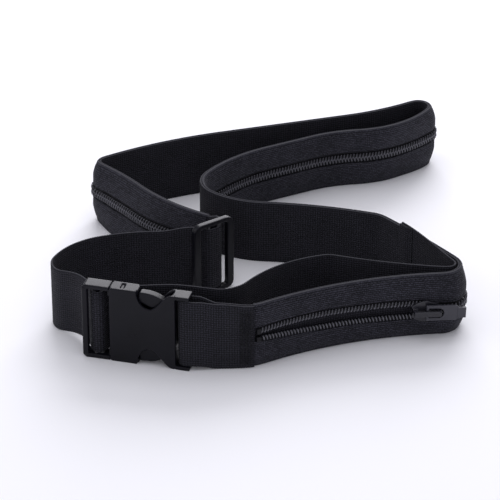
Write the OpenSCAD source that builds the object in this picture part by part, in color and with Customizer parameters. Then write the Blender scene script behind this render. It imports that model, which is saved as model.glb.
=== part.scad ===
// Money belt: a zipped webbing pocket belt standing on its edge in a serpentine,
// with its side release buckle closed, a tri-glide and a long free strap tail.
// +X runs along the buckle, +Y goes to the back, +Z is up.
// The origin is under the middle of the buckle, on the plane the belt stands on.

/* [Webbing] */
// Width of the pocket belt and the strap
web_w = 38; // [36:0.5:38.5]
// Width of the ribbed loop sewn round the female buckle's bar
loop_w = 40; // [38:0.5:40.5]
// Thickness of the strap and the loop webbing
web_t = 1.4; // [1.2:0.1:1.5]
// Thickness of the pocket's backing webbing
backing_t = 1.3; // [1:0.1:1.4]
// Thickness of the pocket's outer panels
panel_t = 0.8; // [0.6:0.1:0.8]

/* [Zipper] */
// Height of the zipper's centre at the slider, above the lower edge
zip_z = 17; // [16:0.5:20]
// Width of one coil, from the meeting line out
coil_w = 3.2; // [2.8:0.1:3.4]
// Height of the coil off its tape
coil_t = 1.8; // [1.4:0.1:1.8]
// Width of each tape
tape_w = 7; // [6:0.5:7]
// Widest opening between the two open coils
open_gap = 5; // [4.4:0.1:5.5]
// Distance along the belt from its start to the slider
slider_s = 130; // [120:1:131]
// Length of the slider body
slider_l = 16; // [14:0.5:17]
// Width of the slider body at its shoulders
slider_w = 12.8; // [12:0.1:13.5]
// Length of the pull tab from its pivot
pull_l = 21; // [19:0.5:22]
// Width of the pull tab
pull_w = 9.2; // [9:0.1:9.6]

/* [Buckle] */
// Length of the closed buckle
buckle_l = 59.3; // [59:0.1:60]
// Width of the buckle, which stands as its height
buckle_w = 45; // [45:0.1:46]
// Thickness of the female shell
buckle_t = 8.6; // [8.4:0.1:8.6]
// Thickness of the male frame
frame_t = 8.2; // [7.6:0.1:8.4]
// Play between the male insert and the female shell
play = 0.3; // [0.2:0.05:0.4]

/* [Tri-glide] */
// Length of the tri-glide along the strap
glide_l = 26; // [25:0.5:28]
// Thickness of the tri-glide's bars
glide_t = 3.6; // [3:0.1:3.8]

/* [Hidden] */
$fn = 48;
eps = 0.01;

// ---- The belt's path -------------------------------------------------------
// A path is a start [x, y, heading, distance] and stretches of [length, turn]:
// a stretch is an arc that turns left by that many degrees, or a straight.
// The arcs of the belt, hairpin, strap and tail weren't designed: a separate program fitted them to
// one way that the belt lies, and rounded them. Some in the strap and tail were changed after that.
belt_start = [30.5, 1, 8, 0];
pocket_s = 31.5;
slider_arc = [104, -27];
belt_arcs = [
  [31, 16], [5, 22],                                  // out of the buckle to the pocket
  slider_arc,                                         // front strand, where the slider runs
  [24, 122],                                          // first right bend
  [60, 6], [5, 29], [65, 14],                         // middle strand, with a kink
  [31, -37], [24, -82], [44, -29],                    // first left bend
  [31, 0], [28, -21], [54, 53],                       // upper strand
  [21, 154],                                          // second right bend
  [43, -17], [77, 0], [76, 17],                       // rear strand
  [10, 104],                                          // second left bend
  [34, -11], [54, 25]                                 // left front strand, to the tri-glide
];
hairpin_arcs = [[12, -55], [6, 0], [4, -61], [3, 0], [3.7, -60], [3, 0], [4, 24]];
strap_arcs = [[5, -8], [48.6, 29], [33, 48], [18.6, 84], [17.35, -30]];
weave_arcs = [[7, -20], [4.5, 0], [4.4, 63], [3.9, 75], [3, 0], [3.7, -60]];
tail_arcs = [
  [11, 7], [44, -12], [20, 60], [52, -42], [5, -31],
  [58, 11], [6, 14], [7, 118], [43.5, 5]
];

max_step = 5;
max_turn = 9;

function arc_length(arcs, i = 0) = i >= len(arcs) ? 0 : arcs[i][0] + arc_length(arcs, i + 1);
// The chord of an arc of length l that turns by a degrees.
function chord(l, a) = abs(a) < 0.001 ? l : l * sin(a / 2) / (a / 2 * PI / 180);
// The state after travelling one stretch from state p.
function after(p, arc) =
  let(c = chord(arc[0], arc[1]), h = p[2] + arc[1] / 2)
  [p[0] + c * cos(h), p[1] + c * sin(h), p[2] + arc[1], p[3] + arc[0]];
function end_of(p, arcs, i = 0) = i >= len(arcs) ? p : end_of(after(p, arcs[i]), arcs, i + 1);
// The state at distance d from p along the arcs.
function spot(p, arcs, d, i = 0) =
  d <= arcs[i][0] || i == len(arcs) - 1
    ? after(p, arcs[i] * (d / arcs[i][0]))
    : spot(after(p, arcs[i]), arcs, d - arcs[i][0], i + 1);
function steps(arc) = ceil(max(arc[0] / max_step, abs(arc[1]) / max_turn));
function walk(p, arcs, i = 0) =
  i >= len(arcs) ? [p] : concat(
    [for (k = [0:steps(arcs[i]) - 1]) after(p, arcs[i] * (k / steps(arcs[i])))],
    walk(after(p, arcs[i]), arcs, i + 1));
// The states from distance a to distance b along the arcs.
function stretch(p, arcs, a, b) = concat(
  [spot(p, arcs, a)],
  [for (q = walk(p, arcs)) if (q[3] - p[3] > a + 0.4 && q[3] - p[3] < b - 0.4) q],
  [spot(p, arcs, b)]);
// 0 before a, 1 after b, and a smooth ramp between.
function ramp(a, b, s) = let(t = min(1, max(0, (s - a) / (b - a)))) t * t * (3 - 2 * t);
// A point d to the right of state p, at height z.
function beside(p, d, z) = [p[0] + d * sin(p[2]), p[1] - d * cos(p[2]), z];

belt_l = arc_length(belt_arcs);
belt_end = end_of(belt_start, belt_arcs);
strap_start = [belt_end[0], belt_end[1], belt_end[2], 0];
hairpin_l = arc_length(hairpin_arcs);
all_strap_arcs = concat(hairpin_arcs, strap_arcs, weave_arcs);
strap_l = arc_length(all_strap_arcs);
tail_start = end_of(strap_start, all_strap_arcs);
tail_l = arc_length(tail_arcs);

// ---- Layers through the belt, measured outward from its path ---------------
backing_out = -1.1;
backing_in = backing_out - backing_t;
tape_in = 0.1;
tape_out = 0.45;
panel_in = 0.7;
panel_out = panel_in + panel_t;
coil_in = 0.7;
coil_out = coil_in + coil_t;
panel_edge = coil_w + 0.3;
seam_w = 1.6;

// How far each coil stands off the closing line at distance s.
gap_lead = 10;
gap_ramp = 55;
function half_gap(s) =
  0.05 + (open_gap / 2) * sin(90 * min(1, (s - pocket_s + gap_lead) / gap_ramp))
       * (1 - ramp(slider_s - 4, slider_s + 4, s));
// Height of the zipper's middle: it falls to the slider and rises again behind the first bend.
zip_slope = 1 / 30;
zip_rise = 3;
function zip_at(s) =
  zip_z + (s < slider_s ? zip_slope * (slider_s - s) : zip_rise * ramp(170, 300, s));
// How far the lower edge stands out from the upper edge at distance s.
bend_lean = -0.6;
upper_lean = -3.5;
left_lean = 6.5;
function lean(s) =
  bend_lean * ramp(139, 152, s) * (1 - ramp(168, 185, s))
  + upper_lean * ramp(360, 400, s) * (1 - ramp(480, 510, s))
  + left_lean * ramp(722, 752, s) * (1 - ramp(775, 815, s));
// How far the zipper and the lips beside it bulge out where the belt bends sharply.
bend_bulge = 1.2;
function bulge(s) = bend_bulge * (
  ramp(139, 148, s) * (1 - ramp(158, 172, s)) + ramp(498, 511, s) * (1 - ramp(522, 535, s))
  + ramp(715, 726, s) * (1 - ramp(732, 745, s)));
// The strap stands on the ground, lifts to the middle of the tri-glide and the buckle,
// and its free end rises again.
hardware_lift = (buckle_w - web_w) / 2;
male_lift = 2.6;
end_rise = 5;
weave_s = hairpin_l + arc_length(strap_arcs);
function strap_lift(s) =
  hardware_lift * ramp(0, 10, s) * (1 - ramp(hairpin_l, 56, s))
  + male_lift * ramp(weave_s - 26, weave_s - 2, s) * (1 - ramp(strap_l + 28, strap_l + 62, s))
  + end_rise * ramp(strap_l + 195, strap_l + tail_l, s);

// Joins a closed section, given at each station, into one solid.
module sweep(sections) {
  n = len(sections[0]);
  m = len(sections);
  points = [for (section = sections) for (q = section) q];
  sides = [for (i = [0:m - 2]) for (j = [0:n - 1])
    let(k = (j + 1) % n) each [
      [i * n + j, (i + 1) * n + j, i * n + k],
      [i * n + k, (i + 1) * n + j, (i + 1) * n + k]
    ]];
  first = [for (j = [0:n - 1]) j];
  last = [for (j = [n - 1:-1:0]) (m - 1) * n + j];
  polyhedron(points, concat(sides, [first, last]));
}

// A belt section: corners [d, z] at state p, leaned over as the belt is there.
function belt_section(p, corners) =
  [for (c = corners) beside(p, c[0] + lean(p[3]) * (1 - c[1] / web_w), c[1])];
function box_corners(d0, d1, z0, z1) = [[d0, z0], [d0, z1], [d1, z1], [d1, z0]];

module belt_strip(a, b, d0, d1, z0, z1) {
  sweep([for (p = stretch(belt_start, belt_arcs, a, b)) belt_section(p, box_corners(d0, d1, z0, z1))]);
}

// ---- Pocket ----------------------------------------------------------------
module backing_web() {
  color("#1c1c20") belt_strip(pocket_s, belt_l, backing_in, backing_out, 0, web_w);
}

// side is 1 for the upper panel and -1 for the lower one. It is thin where its hem turns in to
// the backing, and swells out to the zipper.
edge_out = -0.1;
hem_in = -0.6;
hem_grip = 0.1; // how far the hem bites in past the backing's face
hem_bevel = 0.3;
swell_upper = 6;
swell_lower = 5;
module pocket_panel(side) {
  edge = side > 0 ? web_w : 0;
  hem = edge - side * seam_w;
  swell = side > 0 ? swell_upper : swell_lower;
  sweep([for (p = stretch(belt_start, belt_arcs, pocket_s, belt_l))
    let(
      lip = zip_at(p[3]) + side * (panel_edge + half_gap(p[3])),
      crown = lip + side * swell,
      b = bulge(p[3]),
      turned = [
        [backing_out + hem_grip, edge], [edge_out, edge - side * hem_bevel], [panel_out + b, crown],
        [panel_out + b, lip], [panel_in + b, lip], [panel_in + b, crown],
        [hem_in, hem], [backing_out + hem_grip, hem]
      ]
    )
    belt_section(p, side > 0 ? turned : [for (i = [7:-1:0]) turned[i]])]);
}

module pocket_panel_upper() {
  color("#202024") pocket_panel(1);
}

module pocket_panel_lower() {
  color("#202024") pocket_panel(-1);
}

// ---- Zipper ----------------------------------------------------------------
zip_end = belt_l - 6;
tape_near = 1.2; // from the meeting line to the tape's edge
tape_past = 3; // how far the tapes run on past the coils
module zipper_strip(side, d0, d1, from, wide, a, b) {
  sweep([for (p = stretch(belt_start, belt_arcs, a, b))
    let(
      near = zip_at(p[3]) + side * (half_gap(p[3]) + from),
      far = near + side * wide,
      b = bulge(p[3])
    )
    belt_section(p, box_corners(d0 + b, d1 + b, min(near, far), max(near, far)))]);
}

module zipper_tape(side) {
  zipper_strip(side, tape_in, tape_out, tape_near, tape_w, pocket_s + 1, zip_end + tape_past);
}

module zipper_tape_upper() {
  color("#18181a") zipper_tape(1);
}

module zipper_tape_lower() {
  color("#18181a") zipper_tape(-1);
}

stop_start = pocket_s + 1;
stop_l = 2;
stop_gap = 0.3;
stop_proud = 0.2;
bottom_stop_w = 6;
coil_start = stop_start + stop_l + stop_gap;
module zipper_coil_upper() {
  color("#101012") zipper_strip(1, coil_in, coil_out, 0, coil_w, coil_start, zip_end);
}

module zipper_coil_lower() {
  color("#101012") zipper_strip(-1, coil_in, coil_out, 0, coil_w, coil_start, zip_end);
}

module zipper_top_stops() {
  color("#2a2a2e") for (side = [-1, 1])
    zipper_strip(side, coil_in, coil_out + stop_proud, 0.1, coil_w - stop_gap,
      stop_start, stop_start + stop_l);
}

module zipper_bottom_stop() {
  z0 = zip_z + zip_rise - bottom_stop_w / 2;
  color("#2a2a2e")
    belt_strip(zip_end + 0.2, zip_end + tape_past, coil_in, coil_out + stop_proud, z0, z0 + bottom_stop_w);
}

// ---- Slider ----------------------------------------------------------------
slider_at = spot(belt_start, belt_arcs, slider_s);
plate_t = 0.9;
plate_in = coil_out + 0.3;
plate_back = -0.15;
plate_back_t = 0.7;
post_h = 2;
bridge_w = 3.2;
bridge_x = [-6.6, 8.2];
bridge_foot = 1.9;
bridge_t = 1.1;
pin_r = 0.8;
pin_x = 0.5;
pin_d = plate_in + plate_t + 1.6;
pin_play = 0.15;
bridge_under = pin_d + pin_r + pin_play;

// Places things given as [along the belt, outward, up] at the slider's place.
module at_slider() {
  translate([slider_at[0], slider_at[1], zip_z])
    rotate([0, atan(zip_slope), slider_at[2]]) translate([0, 0, -zip_z]) children();
}

// The slider's shield outline, nose towards the open end, in [along, up].
module slider_outline(grow) {
  nose = slider_l / 2;
  polygon([
    [-nose, -3.2 - grow], [-nose + 3, -5.2 - grow],
    [-1.5, -slider_w / 2 - grow], [0.5, -slider_w / 2 - grow],
    [nose - 1, -4.2 - grow], [nose, -3.2 - grow], [nose, 3.2 + grow], [nose - 1, 4.2 + grow],
    [0.5, slider_w / 2 + grow], [-1.5, slider_w / 2 + grow], [-nose + 3, 5.2 + grow], [-nose, 3.2 + grow],
    [-nose + 1.4, 0]
  ]);
}

// Extrudes an outline in [along, up] from d0 to d1 outward.
module outward(d0, d1) {
  translate([0, -d0, zip_z]) rotate([90, 0, 0]) linear_extrude(d1 - d0) children();
}

module slider_body() {
  color("#1a1a1e") at_slider() {
    outward(plate_in, plate_in + plate_t) slider_outline(0);
    outward(plate_back - plate_back_t, plate_back) slider_outline(-0.6);
    // The post that splits the coils, between the two plates
    outward(plate_back - eps, plate_in + eps)
      polygon([[-7, -post_h / 2], [-4, -post_h / 2], [-3, 0], [-4, post_h / 2], [-7, post_h / 2]]);
    // The bridge that holds the pull tab, on two feet
    for (x = [bridge_x[0], bridge_x[1] - bridge_foot])
      outward(plate_in + plate_t - eps, bridge_under + eps)
        translate([x, -bridge_w / 2]) square([bridge_foot, bridge_w]);
    outward(bridge_under, bridge_under + bridge_t) union() {
      translate([bridge_x[0], -bridge_w / 2]) square([bridge_x[1] - bridge_x[0] - bridge_w / 2, bridge_w]);
      translate([bridge_x[1] - bridge_w / 2, 0]) circle(r = bridge_w / 2);
    }
  }
}

// The pull tab lies along the belt. Its eye passes under the bridge.
tab_t = 1.3;
eye_w = 6;
eye_l = 9;
tab_lip_w = 6.2;
tab_lip_l = 4.2;
tab_chamfer = 1.6;
module pull_tab() {
  color("#141416") at_slider() translate([pin_x, -pin_d, zip_z]) {
    rotate([90, 0, 0]) translate([0, 0, -tab_t / 2]) linear_extrude(tab_t) difference() {
      translate([0, -pull_w / 2]) square([pull_l - tab_lip_l, pull_w]);
      translate([-1, -eye_w / 2]) square([eye_l - eye_w / 2 + 1, eye_w]);
      translate([eye_l - eye_w / 2, 0]) circle(r = eye_w / 2);
      for (side = [-1, 1]) translate([pull_l - tab_lip_l, side * pull_w / 2])
        rotate([0, 0, 45]) square(tab_chamfer, center = true);
    }
    // The bar that turns under the bridge
    cylinder(h = pull_w, r = pin_r, center = true);
    translate([pull_l - tab_lip_l / 2 - 0.2, 0, 0])
      cube([tab_lip_l + 0.4, tab_t + 0.6, tab_lip_w], center = true);
  }
}

// ---- Webbing loop and bartacks ---------------------------------------------
bar_x = 25.6;
bar_y = 0.4;
bar_r = 2.5;
join_s = 13;
loop_r = bar_r + 0.2 + web_t / 2;
loop_offset = web_t / 2 + 0.1;
function loop_side(s) = loop_offset + (loop_r - loop_offset) * (1 - ramp(0, join_s, s));
function loop_state(s, side) =
  let(p = spot(belt_start, belt_arcs, s), q = beside(p, side * loop_side(s), 0))
  [q[0], q[1], side > 0 ? p[2] : p[2] + 180, s];
// The ribbed loop in one piece: back layer to the bar, round it, and the front layer out.
module buckle_web_loop() {
  lift = (buckle_w - loop_w) / 2 - 0.2;
  turn_states = [for (k = [1:11]) let(a = belt_start[2] + 90 + 180 * k / 12)
    [bar_x + loop_r * cos(a), bar_y + loop_r * sin(a), a + 90, 0]];
  layer = [for (s = [pocket_s - 0.1:-1.5:1.5]) s];
  states = concat(
    [for (s = layer) loop_state(s, -1)],
    turn_states,
    [for (i = [len(layer) - 1:-1:0]) loop_state(layer[i], 1)]);
  color("#1e1e22") sweep([for (p = states)
    let(
      z0 = lift * (1 - ramp(2, join_s, p[3])),
      z1 = z0 + loop_w + (web_w - loop_w) * ramp(join_s, pocket_s, p[3])
    )
    [for (c = box_corners(-web_t / 2, web_t / 2, z0, z1)) beside(p, c[0], c[1])]]);
}

// Dense stitching across the belt: bars standing on the faces.
tack_t = 0.35;
tack_inset = 2.5;
loop_tack_s = pocket_s - 7.5;
loop_tack_w = 1;
loop_tack_pitch = 2.2;
loop_tack_d = web_t + 0.2;
module buckle_end_bartack() {
  color("#2c2c30") for (i = [0:2]) {
    a = loop_tack_s + loop_tack_pitch * i;
    for (d = [loop_tack_d, -loop_tack_d - tack_t])
      belt_strip(a, a + loop_tack_w, d, d + tack_t, tack_inset, web_w - tack_inset);
  }
}

pocket_tack_w = 0.7;
pocket_tack_z = [12, 29];
module adjuster_end_bartack() {
  d = panel_out + 0.02;
  color("#2c2c30") for (back = [2.6, 1.3])
    belt_strip(belt_l - back, belt_l - back + pocket_tack_w, d, d + tack_t,
      pocket_tack_z[0], pocket_tack_z[1]);
}

// ---- Strap -----------------------------------------------------------------
module strap_strip(p0, arcs, a, b, half_t, inset) {
  sweep([for (p = stretch(p0, arcs, a, b))
    let(z0 = strap_lift(p[3]))
    [for (c = box_corners(-half_t, half_t, z0 + inset, z0 + web_w - inset)) beside(p, c[0], c[1])]]);
}

module adjusting_strap() {
  color("#1c1c20") strap_strip(strap_start, all_strap_arcs, 0.2, strap_l - 0.05, web_t / 2, 0);
}

hem_l = 9;
module strap_tail() {
  color("#1c1c20") strap_strip(tail_start, tail_arcs, 0.05, tail_l, web_t / 2, 0);
}

// The turned back end of the tail, on its inner face.
module tail_hem() {
  color("#1c1c20") sweep([for (p = stretch(tail_start, tail_arcs, tail_l - hem_l, tail_l))
    let(z0 = strap_lift(p[3]) + 0.3, z1 = z0 + web_w - 0.6)
    [for (c = box_corners(-web_t * 1.5, -web_t / 2 - 0.02, z0, z1)) beside(p, c[0], c[1])]]);
}

// ---- Buckle ----------------------------------------------------------------
// Outlines are drawn in [x, w], where w runs up from the buckle's centre line.
shell_t = 1.7;
wall_t = 2.8;
mouth_x = -15.2;
plate_x = 21;
half_w = buckle_w / 2;
male_end = -30.5;
rail_end = male_end + buckle_l;
inner_w = half_w - wall_t;
window_x0 = -0.3;
window_low_x = 6.8;
window_x1 = 19.4;
window_depth = 10.2;
latch_x = 0.5;

// Extrudes an [x, w] outline through the buckle from y0 to y1.
module across(y0, y1) {
  translate([0, y1, half_w]) rotate([90, 0, 0]) linear_extrude(y1 - y0) children();
}

// Depth of a press window at x: a quarter round on the mouth side, then an easy slope.
function window_at(x) = x < window_low_x
  ? window_depth * sqrt(max(0, 1 - pow((window_low_x - x) / (window_low_x - window_x0), 2)))
  : window_depth * (1 + cos(180 * (x - window_low_x) / (window_x1 - window_low_x))) / 2;

// The windows through which the prongs are pressed, on both long edges.
module press_windows() {
  points = concat(
    [for (a = [0:15:90]) window_low_x - (window_low_x - window_x0) * cos(a)],
    [for (k = [1:8]) window_low_x + (window_x1 - window_low_x) * k / 8]);
  for (side = [-1, 1]) polygon(concat(
    [[window_x1, side * (half_w + 1)], [window_x0, side * (half_w + 1)]],
    [for (x = points) [x, side * (half_w - window_at(x))]]));
}

module rounded_plate(x0, x1, hw, r) {
  difference() {
    translate([x0, -hw]) square([x1 - x0, 2 * hw]);
    for (side = [-1, 1]) for (end = [0, 1])
      translate([end == 0 ? x0 : x1, side * hw]) rotate([0, 0, 45]) square(r, center = true);
  }
}

module female_buckle() {
  rail_w = 2;
  color("#17171a") {
    // Broad faces, joined by the side walls and the end wall
    for (side = [-1, 1]) {
      y_out = side * buckle_t / 2;
      y_in = side * (buckle_t / 2 - shell_t);
      across(min(y_out, y_in), max(y_out, y_in)) difference() {
        rounded_plate(mouth_x, plate_x, half_w, 1);
        press_windows();
      }
      across(-buckle_t / 2 + shell_t - eps, buckle_t / 2 - shell_t + eps) difference() {
        translate([mouth_x, side > 0 ? inner_w : -half_w]) square([plate_x - mouth_x, wall_t]);
        translate([latch_x, side > 0 ? inner_w - 1 : -half_w - 1]) square([window_x1 - latch_x, wall_t + 2]);
        translate([-8.5, side * half_w]) square([2, 1.6], center = true);
      }
      // Rails that carry the web bar
      across(-buckle_t / 2, buckle_t / 2)
        translate([plate_x - eps, side > 0 ? half_w - rail_w : -half_w])
          square([rail_end - plate_x + eps, rail_w]);
    }
    across(-buckle_t / 2 + shell_t - eps, buckle_t / 2 - shell_t + eps)
      translate([plate_x - 1.6, -half_w + 0.6]) square([1.6, buckle_w - 1.2]);
    translate([bar_x, bar_y, 1]) cylinder(h = buckle_w - 2, r = bar_r);
  }
}

end_bar_w = 3.1;
male_x = mouth_x - 0.2;
male_rail = 2.4;
middle_bar_x = -22.5;
base_l = 4;
insert_t = buckle_t - 2 * shell_t - 2 * play;
root_x = male_x + 3.6;
root_w = 14;
root_r = 2;
guide_l = 20;
guide_r = 3;

module male_frame() {
  color("#17171a") {
    // Ladder of rails, end bar and middle bar that the strap threads through
    for (side = [-1, 1]) across(-frame_t / 2, frame_t / 2) difference() {
      translate([male_end, side > 0 ? half_w - male_rail : -half_w]) square([male_x - male_end, male_rail]);
      translate([male_end, side * half_w]) rotate([0, 0, 45]) square(2.2, center = true);
    }
    across(-frame_t / 2 - 0.3, -0.8) translate([male_end, -half_w + male_rail - 0.6])
      square([end_bar_w, buckle_w - 2 * male_rail + 1.2]);
    translate([middle_bar_x, 0, 1]) cylinder(h = buckle_w - 2, r = 1.4);
    // Base that plugs into the mouth, with sockets for the prong roots
    across(-insert_t / 2, insert_t / 2) difference() {
      translate([male_x - 0.2, -inner_w + play]) square([base_l + 0.2, 2 * (inner_w - play)]);
      for (side = [-1, 1]) {
        translate([root_x, side * root_w]) circle(r = root_r + 0.06);
        translate([root_x, side * root_w - root_r * 0.95]) square([5, root_r * 1.9]);
      }
    }
    for (side = [-1, 1]) across(-insert_t / 2, insert_t / 2)
      translate([male_x - 1.2, side > 0 ? inner_w - play - 3 : -half_w + 1])
        square([1.4, half_w - inner_w + play + 2]);
    // Centre guide
    across(-insert_t / 2 + 0.4, insert_t / 2 - 0.4) union() {
      translate([male_x + base_l - eps, -guide_r]) square([guide_l, 2 * guide_r]);
      translate([male_x + base_l + guide_l, 0]) circle(r = guide_r);
    }
  }
}

// side is 1 for the upper prong and -1 for the lower one.
module prong(side) {
  barb_x = latch_x + 0.3;
  barb_w = half_w - 1.4;
  // Round root, arm, barb with its latching shoulder, and the sloped tip
  color("#1b1b1f") across(-insert_t / 2, insert_t / 2) scale([1, side]) polygon(concat(
    [for (a = [302:-12.2:58]) [root_x + root_r * cos(a), root_w + root_r * sin(a)]],
    [[barb_x - 0.2, root_w + 4.2], [barb_x, barb_w - 0.6], [barb_x + 0.6, barb_w]],
    [for (k = [0:8]) let(a = 90 - 9 * k) [barb_x + 3 + 15.4 * cos(a), 9 + (barb_w - 9) * sin(a)]],
    [[barb_x + 17.6, 7.6], [barb_x + 13, 7.4], [barb_x + 8, 12], [barb_x + 2, root_w + 0.6]]
  ));
}

module prong_upper() {
  prong(1);
}

module prong_lower() {
  prong(-1);
}

// ---- Tri-glide -------------------------------------------------------------
// The strap turns round the middle bar halfway along the straight between its two tight turns.
turn_arcs = [hairpin_arcs[0], hairpin_arcs[1], hairpin_arcs[2]];
over_bar = spot(strap_start, hairpin_arcs, arc_length(turn_arcs) + hairpin_arcs[3][0] / 2);
glide_bar_t = 2.4;
glide_mid = beside(over_bar, glide_bar_t / 2 + web_t / 2 + 0.25, 0);
slot_w = 6.6;
glide_mid_w = 4.4;
glide_rail = 2.6;
glide_corner = 4.5;

module rounded_rectangle(l, w, r) {
  corners = [[1, 1, 0], [-1, 1, 90], [-1, -1, 180], [1, -1, 270]];
  polygon([for (c = corners) for (a = [0:15:90])
    [c[0] * (l / 2 - r) + r * cos(a + c[2]), c[1] * (w / 2 - r) + r * sin(a + c[2])]]);
}

module tri_glide() {
  opening_w = 2 * slot_w + glide_mid_w;
  opening_h = buckle_w - 2 * glide_rail;
  color("#17171a") translate([glide_mid[0], glide_mid[1], 0]) rotate([0, 0, over_bar[2]]) {
    across(-glide_t / 2, glide_t / 2) difference() {
      rounded_rectangle(glide_l, buckle_w, glide_corner);
      rounded_rectangle(opening_w, opening_h, 1);
    }
    across(-glide_bar_t / 2, glide_bar_t / 2) square([glide_mid_w, opening_h + 1], center = true);
  }
}

backing_web();
pocket_panel_upper();
pocket_panel_lower();
zipper_tape_upper();
zipper_tape_lower();
zipper_coil_upper();
zipper_coil_lower();
zipper_top_stops();
zipper_bottom_stop();
slider_body();
pull_tab();
buckle_web_loop();
buckle_end_bartack();
adjuster_end_bartack();
female_buckle();
male_frame();
prong_upper();
prong_lower();
tri_glide();
adjusting_strap();
strap_tail();
tail_hem();
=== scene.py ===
import math

import bpy
import numpy as np
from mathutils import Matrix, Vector


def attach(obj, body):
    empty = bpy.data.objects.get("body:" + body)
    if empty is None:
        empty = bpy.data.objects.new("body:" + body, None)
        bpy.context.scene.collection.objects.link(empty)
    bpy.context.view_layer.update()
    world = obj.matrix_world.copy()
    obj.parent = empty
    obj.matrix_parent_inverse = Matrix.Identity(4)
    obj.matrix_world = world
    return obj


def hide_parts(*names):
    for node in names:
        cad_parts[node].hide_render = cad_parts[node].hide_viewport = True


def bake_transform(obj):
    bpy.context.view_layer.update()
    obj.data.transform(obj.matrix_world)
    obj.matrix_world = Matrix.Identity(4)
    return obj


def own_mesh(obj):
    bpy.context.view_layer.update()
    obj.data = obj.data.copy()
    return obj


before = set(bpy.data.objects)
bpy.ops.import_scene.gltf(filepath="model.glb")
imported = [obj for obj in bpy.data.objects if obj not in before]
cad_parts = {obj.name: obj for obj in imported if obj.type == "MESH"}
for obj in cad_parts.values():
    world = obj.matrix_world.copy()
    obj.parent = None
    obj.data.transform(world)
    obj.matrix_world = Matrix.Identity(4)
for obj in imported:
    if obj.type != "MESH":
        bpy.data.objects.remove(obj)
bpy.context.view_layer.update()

# The looks of the money belt. Lengths below are millimetres until a mesh is made.
MM = 0.001

# ---- The belt's path: arcs of (length, left turn in degrees), as the frame's solids follow it ----
# These repeat the part source's arcs. A separate program fitted those of the belt, hairpin, strap and
# tail to one way that the belt lies. They are data, and not worked out from driving dimensions.
BELT_START = (30.5, 1.0, 8.0)
POCKET_S = 31.5
BELT_ARCS = [
    (31, 16), (5, 22), (104, -27), (24, 122), (60, 6), (5, 29), (65, 14), (31, -37), (24, -82), (44, -29),
    (31, 0), (28, -21), (54, 53), (21, 154), (43, -17), (77, 0), (76, 17), (10, 104), (34, -11), (54, 25),
]
HAIRPIN_ARCS = [(12, -55), (6, 0), (4, -61), (3, 0), (3.7, -60), (3, 0), (4, 24)]
STRAP_ARCS = [(5, -8), (48.6, 29), (33, 48), (18.6, 84), (17.35, -30)]
WEAVE_ARCS = [(7, -20), (4.5, 0), (4.4, 63), (3.9, 75), (3, 0), (3.7, -60)]
TAIL_ARCS = [(11, 7), (44, -12), (20, 60), (52, -42), (5, -31), (58, 11), (6, 14), (7, 118), (43.5, 5)]


class Path:
    """Arcs laid end to end. Points are averaged over a short window, so bends ease in and out."""

    def __init__(self, start, arcs, soft):
        x, y, heading = start
        rows, s = [], 0.0
        for length, turn in arcs:
            rows.append((s, x, y, math.radians(heading), length, math.radians(turn)))
            half = math.radians(turn) / 2
            chord = length * (math.sin(half) / half if turn else 1)
            x += chord * math.cos(math.radians(heading) + half)
            y += chord * math.sin(math.radians(heading) + half)
            heading += turn
            s += length
        self.rows = np.array(rows)
        self.length = s
        self.end = (x, y, heading)
        self.soft = soft

    def exact(self, s):
        i = np.clip(np.searchsorted(self.rows[:, 0], s, side="right") - 1, 0, len(self.rows) - 1)
        s0, x, y, heading, length, turn = self.rows[i].T
        half = turn * (s - s0) / length / 2
        chord = (s - s0) * np.sinc(half / np.pi)
        along = heading + half
        return np.stack([x + chord * np.cos(along), y + chord * np.sin(along), along + half])

    def at(self, s):
        s = np.asarray(s, float)
        near_end = np.minimum(np.clip(s, 0, self.length), self.length - np.clip(s, 0, self.length))
        reach = np.minimum(self.soft, near_end)
        return sum(self.exact(s + reach * k / 3) for k in range(-3, 4)) / 7


belt = Path(BELT_START, BELT_ARCS, 3.0)
strap = Path(belt.end, HAIRPIN_ARCS + STRAP_ARCS + WEAVE_ARCS, 0.9)
tail = Path(strap.end, TAIL_ARCS, 1.5)
HAIRPIN_L = sum(a[0] for a in HAIRPIN_ARCS)
WEAVE_S = HAIRPIN_L + sum(a[0] for a in STRAP_ARCS)

# ---- Sizes through the belt, measured outward from the path ----
WEB_W = 38.0
LOOP_W = 40.0
BUCKLE_W = 45.0
WEB_T = 1.4
BACKING = (-2.4, -1.1)
TAPE = (0.1, 0.45)
PANEL = (0.7, 1.5)
COIL_MID = 1.6
COIL_T = 1.8
COIL_W = 3.2
COIL_PITCH = 1.9
# How far each coil's turns reach in between the other's where the zipper is closed
COIL_MESHING = 0.45
ZIP_Z = 17.0
PANEL_EDGE = COIL_W + 0.3
# The stitched rows lie this far in from a panel's hem and lip, in furrows this wide and deep
HEM_SEAM = 2.2
LIP_SEAM = 1.6
SEAM_WIDTH = 0.6
SEAM_DEPTH = 0.22
SLIDER_S = 130.0
RIB_PITCH = 1.4
GAP_LEAD, GAP_RAMP = 10.0, 55.0
COIL_START = POCKET_S + 3.3
# How far the zipper and its lips stand out at a sharp bend
BULGE = 1.2
# How far the strap is raised where it passes the male half, and the tail at its end
MALE_LIFT = 2.6
END_RISE = 5
ZIP_END = belt.length - 6


def ramp(a, b, s):
    t = np.clip((s - a) / (b - a), 0, 1)
    return t * t * (3 - 2 * t)


def half_gap(s):
    rise = np.sin(np.pi / 2 * np.clip((s - POCKET_S + GAP_LEAD) / GAP_RAMP, 0, 1))
    return 0.05 + 2.5 * rise * (1 - ramp(SLIDER_S - 4, SLIDER_S + 4, s))


def meshing(s):
    """How far a coil stands in towards the zipper's middle, once the slider has closed it."""
    return COIL_MESHING * ramp(SLIDER_S - 2, SLIDER_S + 8, s)


def zip_at(s):
    """Height of the zipper's middle: it falls to the slider and rises again behind the first bend."""
    return ZIP_Z + np.where(s < SLIDER_S, (SLIDER_S - s) / 30, 3 * ramp(170, 300, s))


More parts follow.
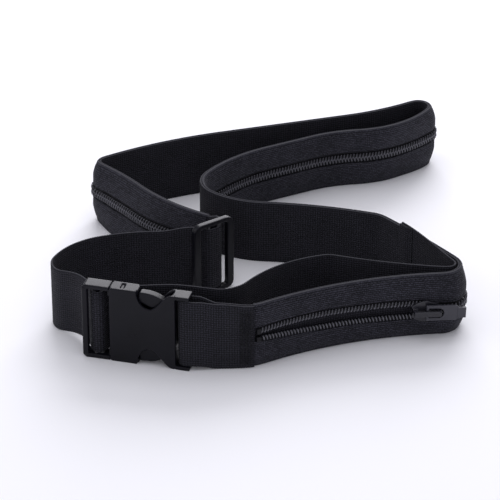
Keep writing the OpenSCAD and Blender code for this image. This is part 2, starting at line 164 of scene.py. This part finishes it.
def lean(s):
    """How far the belt's lower edge stands out from its upper edge."""
    right_bend = -0.6 * ramp(139, 152, s) * (1 - ramp(168, 185, s))
    upper_strand = -3.5 * ramp(360, 400, s) * (1 - ramp(480, 510, s))
    left_strand = 6.5 * ramp(722, 752, s) * (1 - ramp(775, 815, s))
    return right_bend + upper_strand + left_strand


def bulge(s):
    """How far the zipper and the lips beside it bulge out where the belt bends sharply."""
    bends = ((139, 148, 158, 172), (498, 511, 522, 535), (715, 726, 732, 745))
    return BULGE * sum(ramp(a, b, s) * (1 - ramp(c, d, s)) for a, b, c, d in bends)


def strap_lift(s):
    at_glide = (BUCKLE_W - WEB_W) / 2 * ramp(0, 10, s) * (1 - ramp(HAIRPIN_L, 56, s))
    return at_glide + MALE_LIFT * ramp(WEAVE_S - 26, WEAVE_S - 2, s)


def tail_lift(s):
    return MALE_LIFT * (1 - ramp(28, 62, s)) + END_RISE * ramp(195, tail.length, s)


def beside(state, d, z):
    """Points d outward of path states and z up: arrays of stations by corners by xyz."""
    x, y, heading = (v[:, None] for v in state)
    return np.stack([x + d * np.sin(heading), y - d * np.cos(heading), z + 0 * d], axis=-1)


def belt_points(s, d, z):
    """Points of the pocket belt, which leans over where it stands that way."""
    return beside(belt.at(s), d + lean(s)[:, None] * (1 - z / WEB_W), z)


# ---- Meshes ----
def make_object(name, verts, faces, material, uv=None):
    """A mesh object from points in mm and quads, wound outward. uv is one pair for each vertex."""
    verts, faces = np.asarray(verts, float), np.asarray(faces, int)
    a, b, c, d = (verts[faces[:, k]] for k in range(4))
    volume = np.einsum("ij,ij->i", a, np.cross(b, c)).sum() + np.einsum("ij,ij->i", a, np.cross(c, d)).sum()
    if volume < 0:
        faces = faces[:, ::-1]
    mesh = bpy.data.meshes.new(name)
    mesh.vertices.add(len(verts))
    mesh.vertices.foreach_set("co", (verts * MM).astype(np.float32).ravel())
    mesh.loops.add(faces.size)
    mesh.loops.foreach_set("vertex_index", faces.ravel().astype(np.int32))
    mesh.polygons.add(len(faces))
    mesh.polygons.foreach_set("loop_start", np.arange(0, faces.size, 4, dtype=np.int32))
    mesh.update(calc_edges=True)
    if uv is not None:
        layer = mesh.uv_layers.new(name="UVMap")
        layer.data.foreach_set("uv", np.asarray(uv, np.float32)[faces.ravel()].ravel())
    mesh.polygons.foreach_set("use_smooth", np.full(len(faces), True))
    mesh.materials.append(material)
    obj = bpy.data.objects.new(name, mesh)
    bpy.context.scene.collection.objects.link(obj)
    return obj


def skin_faces(m, n):
    """Quads of a closed tube of m rings with n corners, with its two ends closed by quad strips."""
    i, j = np.meshgrid(np.arange(m - 1), np.arange(n), indexing="ij")
    k = (j + 1) % n
    sides = np.stack([i * n + j, (i + 1) * n + j, (i + 1) * n + k, i * n + k], axis=-1).reshape(-1, 4)
    caps = []
    for ring, flip in ((0, False), (m - 1, True)):
        for q in range((n - 2) // 2):
            quad = [q, q + 1, n - 2 - q, n - 1 - q]
            quad = [ring * n + v for v in quad]
            caps.append(quad[::-1] if flip else quad)
    return np.concatenate([sides, np.array(caps)])


def skin(name, rings, material, uv=None):
    """A solid through rings: stations by an even number of corners by xyz."""
    m, n = rings.shape[:2]
    flat_uv = None if uv is None else uv.reshape(-1, 2)
    return make_object(name, rings.reshape(-1, 3), skin_faces(m, n), material, flat_uv)


def tubes(name, centres, radius, sides, material, across=(0, 0, 1), tone=None):
    """Round threads along polylines: centres is threads by points by xyz, radius one value for each point.
    tone is one value for each point, which the material can read as the UV map's second coordinate; the coil
    uses it for its painted highlight and shade."""
    centres = np.asarray(centres, float)
    count, m = centres.shape[:2]
    tangent = np.gradient(centres, axis=1)
    tangent /= np.linalg.norm(tangent, axis=2, keepdims=True)
    across = np.broadcast_to(np.asarray(across, float), centres.shape)
    u = np.cross(tangent, across)
    u /= np.linalg.norm(u, axis=2, keepdims=True)
    v = np.cross(tangent, u)
    angle = np.arange(sides) * 2 * np.pi / sides
    radius = np.broadcast_to(radius, (m,))[None, :, None, None]
    angle = angle[None, None, :, None]
    ring = u[:, :, None] * np.cos(angle) + v[:, :, None] * np.sin(angle)
    verts = (centres[:, :, None] + ring * radius).reshape(-1, 3)
    faces = skin_faces(m, sides)
    step = m * sides
    faces = (faces[None] + (np.arange(count) * step)[:, None, None]).reshape(-1, 4)
    uv = None
    if tone is not None:
        tone = np.tile(np.repeat(tone, sides), count)
        uv = np.stack([0 * tone, tone], axis=-1)
    return make_object(name, verts, faces, material, uv)


# ---- Materials ----
class Nodes:
    """A material whose nodes are made a few at a time."""

    def __init__(self, name, roughness, sheen=0.0, specular=0.5):
        self.material = bpy.data.materials.new(name)
        self.material.use_nodes = True
        self.tree = self.material.node_tree
        self.shader = self.tree.nodes["Principled BSDF"]
        self.shader.inputs["Roughness"].default_value = roughness
        self.shader.inputs["Sheen Weight"].default_value = sheen
        self.shader.inputs["Sheen Roughness"].default_value = 0.45
        self.shader.inputs["Specular IOR Level"].default_value = specular

    def add(self, kind, inputs=None, **properties):
        node = self.tree.nodes.new("ShaderNode" + kind)
        for key, value in properties.items():
            setattr(node, key, value)
        for key, value in (inputs or {}).items():
            if isinstance(value, bpy.types.NodeSocket):
                self.tree.links.new(value, node.inputs[key])
            else:
                node.inputs[key].default_value = value
        return node

    def math(self, operation, a, b=0.0, c=0.0):
        return self.add("Math", {0: a, 1: b, 2: c}, operation=operation).outputs[0]

    def noise(self, vector, scale, detail=2.0):
        return self.add("TexNoise", {"Vector": vector, "Scale": scale, "Detail": detail}).outputs["Fac"]

    def mix(self, factor, dark, light):
        node = self.add("Mix", {"Factor": factor}, data_type="RGBA")
        for index, colour in ((6, dark), (7, light)):
            if isinstance(colour, bpy.types.NodeSocket):
                self.tree.links.new(colour, node.inputs[index])
            else:
                node.inputs[index].default_value = (*colour, 1)
        return node.outputs[2]

    def finish(self, colour, height, distance, strength=1.0, roughness=None):
        """Sets the colour, the bump height and its depth in mm, and perhaps a varied roughness."""
        self.tree.links.new(colour, self.shader.inputs["Base Color"])
        bump = self.add("Bump", {"Height": height, "Distance": distance * MM, "Strength": strength})
        self.tree.links.new(bump.outputs[0], self.shader.inputs["Normal"])
        if roughness is not None:
            self.tree.links.new(roughness, self.shader.inputs["Roughness"])
        return self.material


def cloth_axes(n):
    """Distance along the cloth, height on it, and both as a vector, in mm from the UV map."""
    uv = n.add("UVMap", uv_map="UVMap").outputs[0]
    split = n.add("SeparateXYZ", {0: uv})
    return split.outputs[0], split.outputs[1], uv


def selvedge_highlight(n, v, width):
    """1 on the cloth's two long edges and 0 away from them, for cloth that is this wide. It masks a painted
    highlight line along the edges.
    """
    from_middle = n.math("ABSOLUTE", n.math("SUBTRACT", v, width / 2))
    return n.add("MapRange", {0: from_middle, 1: width / 2 - 0.5, 2: width / 2 - 0.05}).outputs[0]


def webbing_material():
    """Ribbed webbing: dark furrows between ribs of paler yarn floats, and a painted highlight along the
    selvedges.
    """
    n = Nodes("ribbed_webbing", 0.78, 0.04, 0.22)
    u, v, uv = cloth_axes(n)
    rib = n.math("COSINE", n.math("MULTIPLY", u, 2 * math.pi / RIB_PITCH))
    yarn = n.math("SINE", n.math("MULTIPLY", v, 2 * math.pi / 1.3))
    fuzz = n.noise(uv, 1.7, 3.0)
    patch = n.noise(uv, 0.06, 3.0)
    height = n.math("ADD", n.math("MULTIPLY", yarn, 0.6), n.math("MULTIPLY", fuzz, 1.4))
    tone = n.math("MULTIPLY_ADD", rib, 0.26, 0.24)
    tone = n.math("ADD", tone, n.math("MULTIPLY", yarn, 0.24))
    tone = n.math("ADD", tone, n.math("MULTIPLY", n.math("SUBTRACT", patch, 0.5), 0.5))
    tone = n.math("ADD", tone, n.math("MULTIPLY", n.math("SUBTRACT", fuzz, 0.5), 2.6))
    colour = n.mix(tone, (0.003, 0.0032, 0.005), (0.037, 0.036, 0.050))
    # Painted highlight: both long edges are mixed to a paler grey, as where the overhead light catches them.
    colour = n.mix(selvedge_highlight(n, v, WEB_W), colour, (0.032, 0.032, 0.040))
    return n.finish(colour, height, 0.22, 0.9)


def pocket_material():
    """Finely woven cloth: rows of short floats along the belt."""
    n = Nodes("pocket_cloth", 0.82, 0.05, 0.2)
    u, v, uv = cloth_axes(n)
    brick = n.add("TexBrick", {
        "Vector": uv, "Scale": 1.0, "Brick Width": 2.2, "Row Height": 1.15, "Mortar Size": 0.2,
        "Mortar Smooth": 1.0, "Color1": (1, 1, 1, 1), "Color2": (0.55, 0.55, 0.55, 1), "Mortar": (0, 0, 0, 1),
    })
    fuzz = n.noise(uv, 1.5, 3.0)
    patch = n.noise(uv, 0.05, 4.0)
    value = n.add("RGBToBW", {0: brick.outputs["Color"]}).outputs[0]
    row = n.math("COSINE", n.math("MULTIPLY", v, 2 * math.pi / 1.15))
    tone = n.math("MULTIPLY_ADD", value, 0.70, -0.20)
    tone = n.math("ADD", tone, n.math("MULTIPLY", row, -0.28))
    tone = n.math("ADD", tone, n.math("MULTIPLY", n.math("SUBTRACT", fuzz, 0.5), 2.4))
    tone = n.math("ADD", tone, n.math("MULTIPLY", n.math("SUBTRACT", patch, 0.5), 0.6))
    colour = n.mix(tone, (0.004, 0.004, 0.0065), (0.056, 0.055, 0.074))
    # Painted highlight: the panels are mixed to a paler grey along the belt's two edges.
    colour = n.mix(selvedge_highlight(n, v, WEB_W), colour, (0.034, 0.034, 0.042))
    height = n.math("ADD", value, n.math("MULTIPLY", fuzz, 0.8))
    return n.finish(colour, height, 0.22, 0.9)


def yarn_material(name, dark, light, roughness, scale):
    """Twisted or knitted yarn: a fine noise in its colour and its surface."""
    n = Nodes(name, roughness, 0.05, 0.3)
    place = n.add("TexCoord").outputs["Object"]
    fibre = n.noise(place, scale, 3.0)
    return n.finish(n.mix(fibre, dark, light), fibre, 0.12, 0.5)


def plastic_material(name, dark, light, roughness, specular=0.4):
    """Moulded plastic: a fine satin grain, faint flow patches, and a painted highlight that makes sharp edges
    paler.
    """
    n = Nodes(name, roughness, 0.0, specular)
    place = n.add("TexCoord").outputs["Object"]
    grain = n.noise(place, 2600.0, 2.0)
    flow = n.noise(place, 70.0, 4.0)
    # Painted highlight: convex edges, found by pointiness, are mixed towards the light colour.
    edge = n.add("MapRange", {0: n.add("NewGeometry").outputs["Pointiness"], 1: 0.50, 2: 0.60}).outputs[0]
    tone = n.math("ADD", n.math("MULTIPLY", flow, 0.6), n.math("MULTIPLY", edge, 0.55))
    rough = n.math("MULTIPLY_ADD", flow, 0.22, roughness - 0.08)
    return n.finish(n.mix(tone, dark, light), grain, 0.05, 0.35, rough)


def coil_material():
    """Extruded nylon filament, with a painted highlight on the front of each turn and painted shade where it
    runs back beneath.
    """
    n = Nodes("nylon_coil", 0.30, 0.0, 0.6)
    place = n.add("TexCoord").outputs["Object"]
    streak = n.noise(place, 900.0, 2.0)
    rough = n.math("MULTIPLY_ADD", streak, 0.2, 0.26)
    # Painted highlight and shade: the UV map's second coordinate is 1 on the front of a turn and 0 behind it.
    front = n.math("MULTIPLY_ADD", streak, 0.4, n.math("SUBTRACT", cloth_axes(n)[1], 0.2))
    return n.finish(n.mix(front, (0.003, 0.003, 0.004), (0.115, 0.114, 0.136)), streak, 0.04, 0.3, rough)


WEBBING = webbing_material()
POCKET = pocket_material()
TAPE_CLOTH = yarn_material("zipper_tape_knit", (0.003, 0.003, 0.0045), (0.010, 0.010, 0.013), 0.85, 1400.0)
THREAD = yarn_material("sewing_thread", (0.010, 0.010, 0.013), (0.032, 0.032, 0.040), 0.6, 2200.0)
COIL = coil_material()
PLASTIC = plastic_material("buckle_acetal", (0.0028, 0.0028, 0.0046), (0.0095, 0.0093, 0.0150), 0.29, 0.18)
METAL = plastic_material("enamelled_metal", (0.007, 0.007, 0.010), (0.046, 0.045, 0.057), 0.22)
STOP_METAL = plastic_material("stop_enamel", (0.003, 0.003, 0.004), (0.012, 0.012, 0.015), 0.45, 0.2)
PULL_METAL = plastic_material("pull_enamel", (0.024, 0.024, 0.032), (0.070, 0.069, 0.086), 0.30)


# ---- Webbing ribbons ----
def ribbed_section(s, width, thick, z0, ribs=0.11, face_points=7, edge_points=4):
    """Corner offsets (d, z) of a ribbed webbing with round selvedges, for stations at distance s."""
    half = thick / 2
    face = np.linspace(-1, 1, face_points)
    turn = np.linspace(0, np.pi, edge_points + 2)[1:-1]
    side = np.concatenate([np.ones(face_points), np.cos(turn), -np.ones(face_points), -np.cos(turn)])
    flat = width / 2 - half
    top_edge = flat + half * np.sin(turn)
    height = np.concatenate([face * flat, top_edge, face[::-1] * flat, -top_edge])
    wave = np.cos(2 * np.pi * s / RIB_PITCH)[:, None]
    on_face = np.abs(side)[None]
    d = side[None] * (half - ribs * (0.5 - 0.5 * wave) * on_face)
    is_edge = (np.abs(height) > flat + 1e-6)[None]
    z = height[None] + np.sign(height)[None] * is_edge * ribs * 1.3 * (wave - 1) * 0.5
    z = z + width / 2 + np.broadcast_to(z0, s.shape)[:, None]
    along = np.broadcast_to(s[:, None], d.shape)
    up = np.broadcast_to(height[None] + width / 2, d.shape)
    return d, z, np.stack([along, up], axis=-1)


def rib_stations(a, b):
    """Distances from a to b, four to a rib."""
    return np.linspace(a, b, max(3, int(round((b - a) * 4 / RIB_PITCH)) + 1))


def strap_piece(name, path, a, b, lift):
    s = rib_stations(a, b)
    d, z, uv = ribbed_section(s, WEB_W, WEB_T, lift(s))
    return skin(name, beside(path.at(s), d, z), WEBBING, uv)


def place(piece, body, slot, *nodes):
    """The piece rides on a body and may stand for CAD nodes. slot is not used."""
    if body:
        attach(piece, body)
    if nodes:
        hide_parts(*nodes)
    return piece


# ---- Pocket: backing, panels and their seams ----
def backing():
    s = rib_stations(POCKET_S, belt.length)
    d, z, uv = ribbed_section(s, WEB_W, BACKING[1] - BACKING[0], 0.0)
    piece = skin("backing_webbing", belt_points(s, d + sum(BACKING) / 2, z), WEBBING, uv)
    place(piece, "root", "webbing", "backing_web")


def waviness(s, z, seed):
    """Slow uneven swells of the cloth, in mm."""
    return (0.16 * np.sin(s / 7.3 + seed) * np.sin(s / 23.1 + 2 * seed)
            + 0.10 * np.sin(s / 3.9 + z / 5.0 + seed) * np.sin(s / 31.0 + seed))


def panel_face(s, z, side):
    """How far out a panel's face stands: thin at the belt's edge, and swelling towards the zipper."""
    lip = zip_at(s) + side * (PANEL_EDGE + half_gap(s))
    edge = WEB_W if side > 0 else 0.0
    swell = 6.0 if side > 0 else 5.0
    t = np.clip(np.abs(z - edge) / (np.abs(lip - edge) - swell), 0, 1)
    hem_seam = np.exp(-((np.abs(z - edge) - HEM_SEAM) / SEAM_WIDTH) ** 2)
    lip_seam = np.exp(-((np.abs(z - lip) - LIP_SEAM) / SEAM_WIDTH) ** 2)
    crown = -0.1 + (PANEL[1] + 0.1) * np.sin(np.pi / 2 * t) ** 0.8
    near_lip = np.clip((14 - np.abs(z - lip)) / 8, 0, 1)
    folds = waviness(s, z, 1.0 + side) * t + bulge(s) * near_lip
    return crown + folds - SEAM_DEPTH * (hem_seam + lip_seam)


def panel(name, side, node):
    """One panel of the pocket, with a hem rolled over the belt's edge and a lip folded by the zipper."""
    s = np.arange(POCKET_S, belt.length + 0.5, 1.0)
    s[-1] = belt.length
    edge = WEB_W if side > 0 else 0.0
    lip = zip_at(s) + side * (PANEL_EDGE + half_gap(s))
    roll, fold = 0.4, 0.4
    columns = [(BACKING[1] + 0.1, edge + 0 * s)]
    for angle in np.linspace(np.pi / 2, 0.3, 4):
        columns.append((-0.1 - roll + roll * np.cos(angle), edge - side * roll * (1 - np.sin(angle))))
    for t in np.linspace(0.02, 1, 18):
        z = edge - side * roll + (lip + side * fold - edge + side * roll) * t
        columns.append((panel_face(s, z, side), z))
    for angle in np.linspace(0.5, np.pi, 5):
        out = sum(PANEL) / 2 + fold * np.cos(angle) + bulge(s)
        columns.append((out, lip + side * fold * (1 - np.sin(angle))))
    hem = edge - side * 1.6
    columns.append((PANEL[0] + bulge(s), lip + side * 5.0))
    columns.append((-0.6, hem + 0 * s))
    columns.append((BACKING[1] + 0.1, hem + 0 * s))
    if len(columns) % 2:
        columns.insert(-1, (-0.8, hem + 0 * s))
    d = np.stack([np.broadcast_to(c[0], s.shape) for c in columns], axis=1)
    z = np.stack([np.broadcast_to(c[1], s.shape) for c in columns], axis=1)
    uv = np.stack([np.broadcast_to(s[:, None], d.shape), z], axis=-1)
    piece = skin(name, belt_points(s, d, z), POCKET, uv)
    place(piece, "root", "pocket_fabric", node)


def stitch_row(name, side, z_of, pitch=2.6, length=1.9):
    """A row of lockstitches along a panel, at height z_of(s)."""
    starts = np.arange(POCKET_S + 2, belt.length - 2 - length, pitch)
    t = np.linspace(0, 1, 6)
    s = (starts[:, None] + length * t[None]).ravel()
    z = z_of(s)
    out = panel_face(s, z, side) + np.tile(0.16 * np.sin(np.pi * t) - 0.04, len(starts))
    points = belt_points(s, out[:, None], z[:, None])
    radius = 0.17 * np.array([0.45, 0.9, 1, 1, 0.9, 0.45])
    piece = tubes(name, points.reshape(len(starts), len(t), 3), radius, 6, THREAD)
    place(piece, "root", "thread")


def pocket_seams():
    for side, word in ((1, "upper"), (-1, "lower")):
        edge = WEB_W if side > 0 else 0.0
        from_zip = PANEL_EDGE + LIP_SEAM
        stitch_row(f"stitches_{word}_hem", side, lambda s: edge - side * HEM_SEAM + 0 * s)
        stitch_row(f"stitches_{word}_lip", side, lambda s: zip_at(s) + side * (from_zip + half_gap(s)))


# ---- Zipper ----
# The stretch that is open at rest is cut where the slider's travel starts and in short pieces under
# the slider. SHIFTS gives each piece a distance in mm towards the closing line; pieces with one get meshes of
# their own, and nothing here moves them.
CUTS = [COIL_START + COIL_PITCH * k for k in (0, 10, 16, 48, 50, 51)] + [ZIP_END]
SHIFTS = [0.0, 2.2, 2.45, 2.15, 0.9, 0.0]


def coil_piece(name, side, a, b):
    """One coil between a and b: flattened turns of filament, each leaning along the belt."""
    turns = int(round((b - a) / COIL_PITCH))
    t = np.arange(turns * 12 + 1) / 12
    s = a + (0 if side > 0 else COIL_PITCH / 2) + COIL_PITCH * t
    swing = 2 * np.pi * t
    filament, over_line = 0.40, 0.3
    across = COIL_W / 2 - over_line / 2 - (COIL_W / 2 + over_line / 2 - filament) * np.cos(swing)
    out = COIL_MID + (COIL_T / 2 - filament) * np.sin(swing) + bulge(s)
    z = zip_at(s) + side * (half_gap(s) + across - meshing(s))
    points = belt_points(s, out[:, None], z[:, None])[:, 0]
    heading = belt.at(s)[2]
    along = np.stack([np.cos(heading), np.sin(heading), 0 * heading], axis=-1)
    # The last argument carries the turns' painted highlight and shade: 1 on their front, 0 where they run
    # back beneath.
    return tubes(name, points[None], filament, 6, COIL, along[None], 0.5 + 0.5 * np.sin(swing))


def sewing_piece(name, side, a, b):
    """The two threads that sew a coil to its tape, passing over its turns."""
    s = np.linspace(a, b, max(3, int((b - a) / COIL_PITCH * 4) + 1))
    over_turns = 0.12 * np.sin(2 * np.pi * (s - COIL_START) / COIL_PITCH)
    out = COIL_MID + COIL_T / 2 - 0.14 + bulge(s) + over_turns
    rows = []
    for row in (1.7, 2.5):
        z = zip_at(s) + side * (half_gap(s) + row - meshing(s))
        rows.append(belt_points(s, out[:, None], z[:, None])[:, 0])
    return tubes(name, np.array(rows), 0.11, 5, TAPE_CLOTH)


def tape_piece(name, side, a, b):
    """One tape: a thin knitted strip under the coil and its panel."""
    s = np.linspace(a, b, max(3, int((b - a) / 1.5) + 1))
    across = np.array([1.2, 2.5, 4.0, 6.0, 8.2, 8.2, 6.0, 4.0, 2.5, 1.2])
    d = np.where(np.arange(10) < 5, TAPE[1], TAPE[0])[None] + bulge(s)[:, None]
    z = zip_at(s)[:, None] + side * (half_gap(s)[:, None] + across[None])
    uv = np.stack([np.broadcast_to(s[:, None], d.shape), z], axis=-1)
    return skin(name, belt_points(s, d, z), TAPE_CLOTH, uv)


def zipper():
    for side, word in ((1, "upper"), (-1, "lower")):
        for k, shift in enumerate(SHIFTS):
            a, b = CUTS[k], CUTS[k + 1]
            first, last = k == 0, k == len(SHIFTS) - 1
            coil = coil_piece(f"coil_{word}_{k}", side, a, b - (2 if last else 0))
            place(coil, "root", "zipper_coil")
            sewing = sewing_piece(f"coil_{word}_{k}_sewing", side, a, b - (1 if last else 0))
            place(sewing, "root", "thread")
            tape_a, tape_b = (POCKET_S + 1 if first else a), (ZIP_END + 3 if last else b)
            tape = place(tape_piece(f"tape_{word}_{k}", side, tape_a, tape_b), "root", "zipper_tape")
            if first:
                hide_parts(f"zipper_coil_{word}")
                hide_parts(f"zipper_tape_{word}")
            if shift:
                x, y, heading = belt.at(np.array([(a + b) / 2]))[:, 0]
                for piece in (coil, sewing, tape):
                    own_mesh(piece)


# ---- Loop through the female buckle ----
def loop():
    """The ribbed loop: back layer in to the bar, round it, and the front layer out to the pocket."""
    bar_x, bar_y, bar_r = 25.6, 0.4, 2.5
    turn_r = bar_r + 0.2 + WEB_T / 2
    flat = WEB_T / 2 + 0.1
    reach = np.arange(POCKET_S - 0.1, 1.4, -0.5)
    offset = flat + (turn_r - flat) * (1 - ramp(0, 13, reach))
    x, y, heading = belt.at(reach)
    back = np.stack([x - offset * np.sin(heading), y + offset * np.cos(heading), reach])
    front = np.stack([x + offset * np.sin(heading), y - offset * np.cos(heading), reach])[:, ::-1]
    angle = math.radians(BELT_START[2] + 90) + np.pi * np.arange(1, 24) / 24
    turn = np.stack([bar_x + turn_r * np.cos(angle), bar_y + turn_r * np.sin(angle), 0 * angle])
    line = np.concatenate([back, turn, front], axis=1)
    run = np.concatenate([[0], np.cumsum(np.hypot(*np.diff(line[:2], axis=1)))])
    s = rib_stations(0, run[-1])
    px, py, from_bar = (np.interp(s, run, v) for v in line)
    smooth = np.ones(9) / 9
    px[4:-4], py[4:-4] = np.convolve(px, smooth, "valid"), np.convolve(py, smooth, "valid")
    state = np.stack([px, py, np.unwrap(np.arctan2(np.gradient(py), np.gradient(px)))])
    width = LOOP_W + (WEB_W - LOOP_W) * ramp(13, POCKET_S, from_bar)
    d, z, uv = ribbed_section(s, LOOP_W, WEB_T, 0.0, 0.13)
    uv[..., 1] *= WEB_W / LOOP_W
    z = z * (width / LOOP_W)[:, None] + (2.3 * (1 - ramp(2, 13, from_bar)))[:, None]
    piece = skin("buckle_loop_webbing", beside(state, d, z), WEBBING, uv)
    place(piece, "root", "webbing", "buckle_web_loop")


def zigzag(name, node, s0, s1, face, bars, z0=2.5, z1=WEB_W - 2.5):
    """A bartack: bars of dense zigzag stitching across the belt on one or two faces."""
    piece_count = 0
    for out in face:
        for k in range(bars):
            middle = s0 + (s1 - s0) * (k + 0.5) / bars
            z = np.arange(z0, z1, 0.45)
            s = middle + 0.75 * (np.arange(len(z)) % 2 - 0.5) * 2
            points = belt_points(s, np.full((len(s), 1), out), z[:, None])[:, 0]
            piece = tubes(f"{name}_{piece_count}", points[None], 0.24, 6, THREAD, (0.3, 0.9, 0.1))
            place(piece, "root", "thread", node)
            piece_count += 1


# ---- Strap, tail and hem ----
def straps():
    bar_s = 20.0
    middle_s = 80.0
    to_bar = strap_piece("strap_to_glide", strap, 0.2, bar_s, strap_lift)
    place(to_bar, None, "webbing", "adjusting_strap")
    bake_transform(to_bar)
    near = place(strap_piece("strap_from_glide", strap, bar_s, middle_s, strap_lift), None, "webbing")
    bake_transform(near)
    bend = place(strap_piece("strap_to_buckle", strap, middle_s, strap.length, strap_lift), None, "webbing")
    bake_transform(bend)
    loose = strap_piece("strap_tail_webbing", tail, 0.0, tail.length, tail_lift)
    place(loose, None, "webbing", "strap_tail")
    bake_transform(loose)


def tail_end():
    """The tail's end, turned back and pressed thin where it is sewn down."""
    s = rib_stations(tail.length - 9, tail.length)
    d, z, uv = ribbed_section(s, WEB_W - 0.6, WEB_T, tail_lift(s) + 0.3)
    face = -WEB_T / 2 - 0.02
    thinned = 0.2 + 0.8 * ramp(tail.length - 9, tail.length - 4, s)[:, None]
    d = face + (d - WEB_T - 0.02 - face) * thinned
    hem = skin("tail_hem_webbing", beside(tail.at(s), d, z), WEBBING, uv)
    place(hem, "root", "webbing", "tail_hem")


# ---- Hard pieces: the frame's own shapes with softened edges ----
def soften(node, material, voxel, passes):
    """Rounds a solid's edges like a moulding: fine even faces first, then passes of smoothing."""
    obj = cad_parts[node]
    obj.data.materials.clear()
    obj.data.materials.append(material)
    remesh = obj.modifiers.new("even_faces", "REMESH")
    remesh.mode = "VOXEL"
    remesh.voxel_size = voxel * MM
    remesh.use_smooth_shade = True
    smooth = obj.modifiers.new("round_edges", "SMOOTH")
    smooth.factor = 0.5
    smooth.iterations = passes


backing()
panel("pocket_panel_top", 1, "pocket_panel_upper")
panel("pocket_panel_bottom", -1, "pocket_panel_lower")
pocket_seams()
zipper()
loop()
zigzag("loop_bartack", "buckle_end_bartack", POCKET_S - 7.5, POCKET_S - 1, (1.75, -1.75), 3)
zigzag("pocket_bartack", "adjuster_end_bartack", belt.length - 3.2, belt.length - 0.2, (1.8,), 2, 12, 29)
straps()
tail_end()
for hard_node in ("female_buckle", "male_frame", "prong_upper", "prong_lower", "tri_glide"):
    soften(hard_node, PLASTIC, 0.28, 18)
soften("slider_body", METAL, 0.14, 6)
soften("pull_tab", PULL_METAL, 0.14, 6)
for stop_node in ("zipper_top_stops", "zipper_bottom_stop"):
    soften(stop_node, STOP_METAL, 0.15, 4)


# ---- Floor, light and camera ----
def floor():
    mesh = bpy.data.meshes.new("floor")
    size = 6.0
    corners = [(-size, -size, 0), (size, -size, 0), (size, size, 0), (-size, size, 0)]
    mesh.from_pydata(corners, [], [(0, 1, 2, 3)])
    obj = bpy.data.objects.new("floor", mesh)
    bpy.context.scene.collection.objects.link(obj)
    n = Nodes("floor_white", 0.9, 0.0, 0.1)
    n.shader.inputs["Base Color"].default_value = (0.93, 0.93, 0.95, 1)
    obj.data.materials.append(n.material)


def area_light(name, place_at, look_at, size, power):
    data = bpy.data.lights.new(name, "AREA")
    data.shape = "SQUARE"
    data.size = size
    data.energy = power
    data.color = (0.96, 0.95, 1.0)
    obj = bpy.data.objects.new(name, data)
    obj.location = place_at
    obj.rotation_mode = "QUATERNION"
    obj.rotation_quaternion = (Vector(look_at) - Vector(place_at)).to_track_quat("-Z", "Y")
    bpy.context.scene.collection.objects.link(obj)


# Degrees down and to the right, distance and target in mm, and focal length in mm
CAMERA_DOWN = 30
CAMERA_TURN = 14.8
CAMERA_DISTANCE = 1676
CAMERA_TARGET = (26.9, 129.2, 0)
CAMERA_LENS = 211.6


def camera():
    """The viewing angle: 30 degrees down, from in front and a little to the right."""
    down, turn = math.radians(CAMERA_DOWN), math.radians(CAMERA_TURN)
    target = Vector(CAMERA_TARGET) * MM
    towards = Vector((math.sin(turn) * math.cos(down), -math.cos(turn) * math.cos(down), math.sin(down)))
    place_at = target + towards * CAMERA_DISTANCE * MM
    data = bpy.data.cameras.new("camera")
    data.sensor_width = 36
    data.lens = CAMERA_LENS
    data.clip_start, data.clip_end = 0.05, 20
    obj = bpy.data.objects.new("camera", data)
    obj.location = place_at
    obj.rotation_mode = "QUATERNION"
    obj.rotation_quaternion = (target - place_at).to_track_quat("-Z", "Y")
    bpy.context.scene.collection.objects.link(obj)
    bpy.context.scene.camera = obj


floor()
area_light("top", (0.0, 0.25, 1.7), (0.03, 0.12, 0), 1.6, 11)
area_light("front", (0.5, -1.6, 0.9), (0.03, 0.1, 0), 1.4, 4)
area_light("left", (-1.5, -0.3, 0.9), (0.03, 0.1, 0), 1.0, 4)
area_light("back", (-0.15, 1.9, 1.15), (0.03, 0.1, 0), 1.6, 42)
camera()
world = bpy.data.worlds.new("studio")
world.use_nodes = True
world.node_tree.nodes["Background"].inputs[0].default_value = (0.92, 0.925, 1.0, 1)
world.node_tree.nodes["Background"].inputs[1].default_value = 0.38
bpy.context.scene.world = world
bpy.context.scene.view_settings.view_transform = "Standard"
